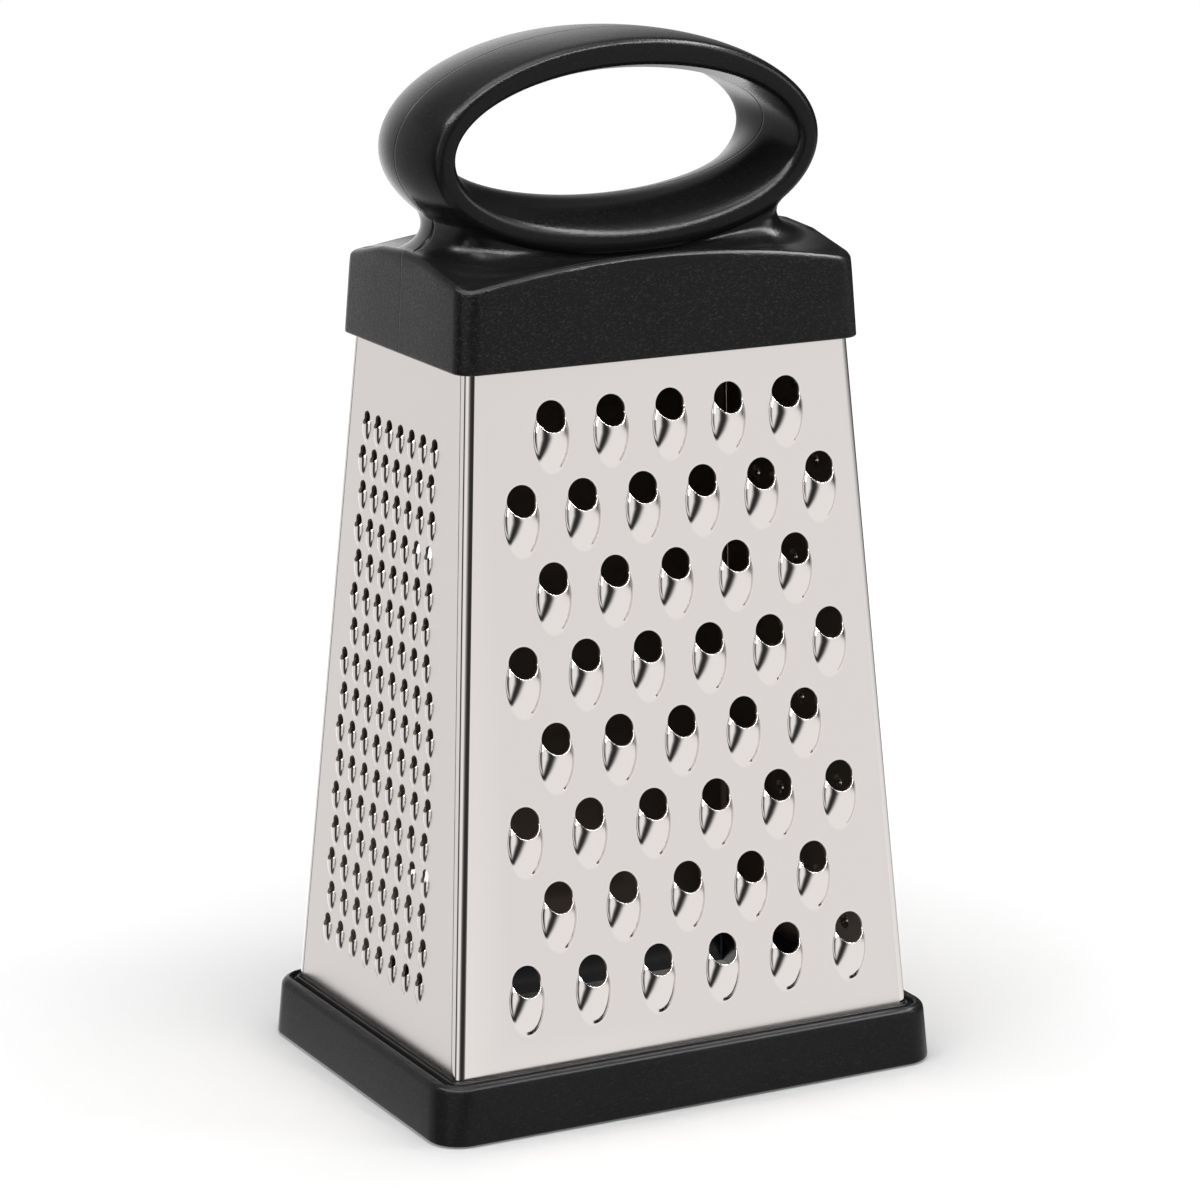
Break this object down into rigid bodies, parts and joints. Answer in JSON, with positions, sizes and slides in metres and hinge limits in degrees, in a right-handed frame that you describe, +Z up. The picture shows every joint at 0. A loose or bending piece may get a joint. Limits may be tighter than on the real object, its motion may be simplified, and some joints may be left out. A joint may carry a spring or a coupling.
{
  "type": "box grater",
  "caption": "Tapered stainless kitchen grater with coarse and fine toothed faces, a black oval loop handle and a black base ring.",
  "frame": {"origin": "on the surface the grater stands on, under the middle of the base ring", "axes": "+Z up along the grater; the coarse face looks along -Y and the fine face along -X"},
  "size_m": [0.1228, 0.091, 0.2283],
  "materials": {
    "grater_steel": "satin sheet with polished scoops and folds",
    "handle_plastic": "fine leather grain, satin on the loop",
    "insert_plastic": "plain matte",
    "screw_steel": "bright zinc",
    "base_plastic": "smooth satin"
  },
  "bodies": {
    "root": {"coarse_panel": "grater_steel", "fine_panel": "grater_steel", "slicing_panel": "grater_steel", "zesting_panel": "grater_steel", "handle_front_shell": "handle_plastic", "handle_rear_shell": "handle_plastic", "clamp_insert": "insert_plastic", "clamp_screws": "screw_steel", "base_ring": "base_plastic"}
  },
  "joints": []
}
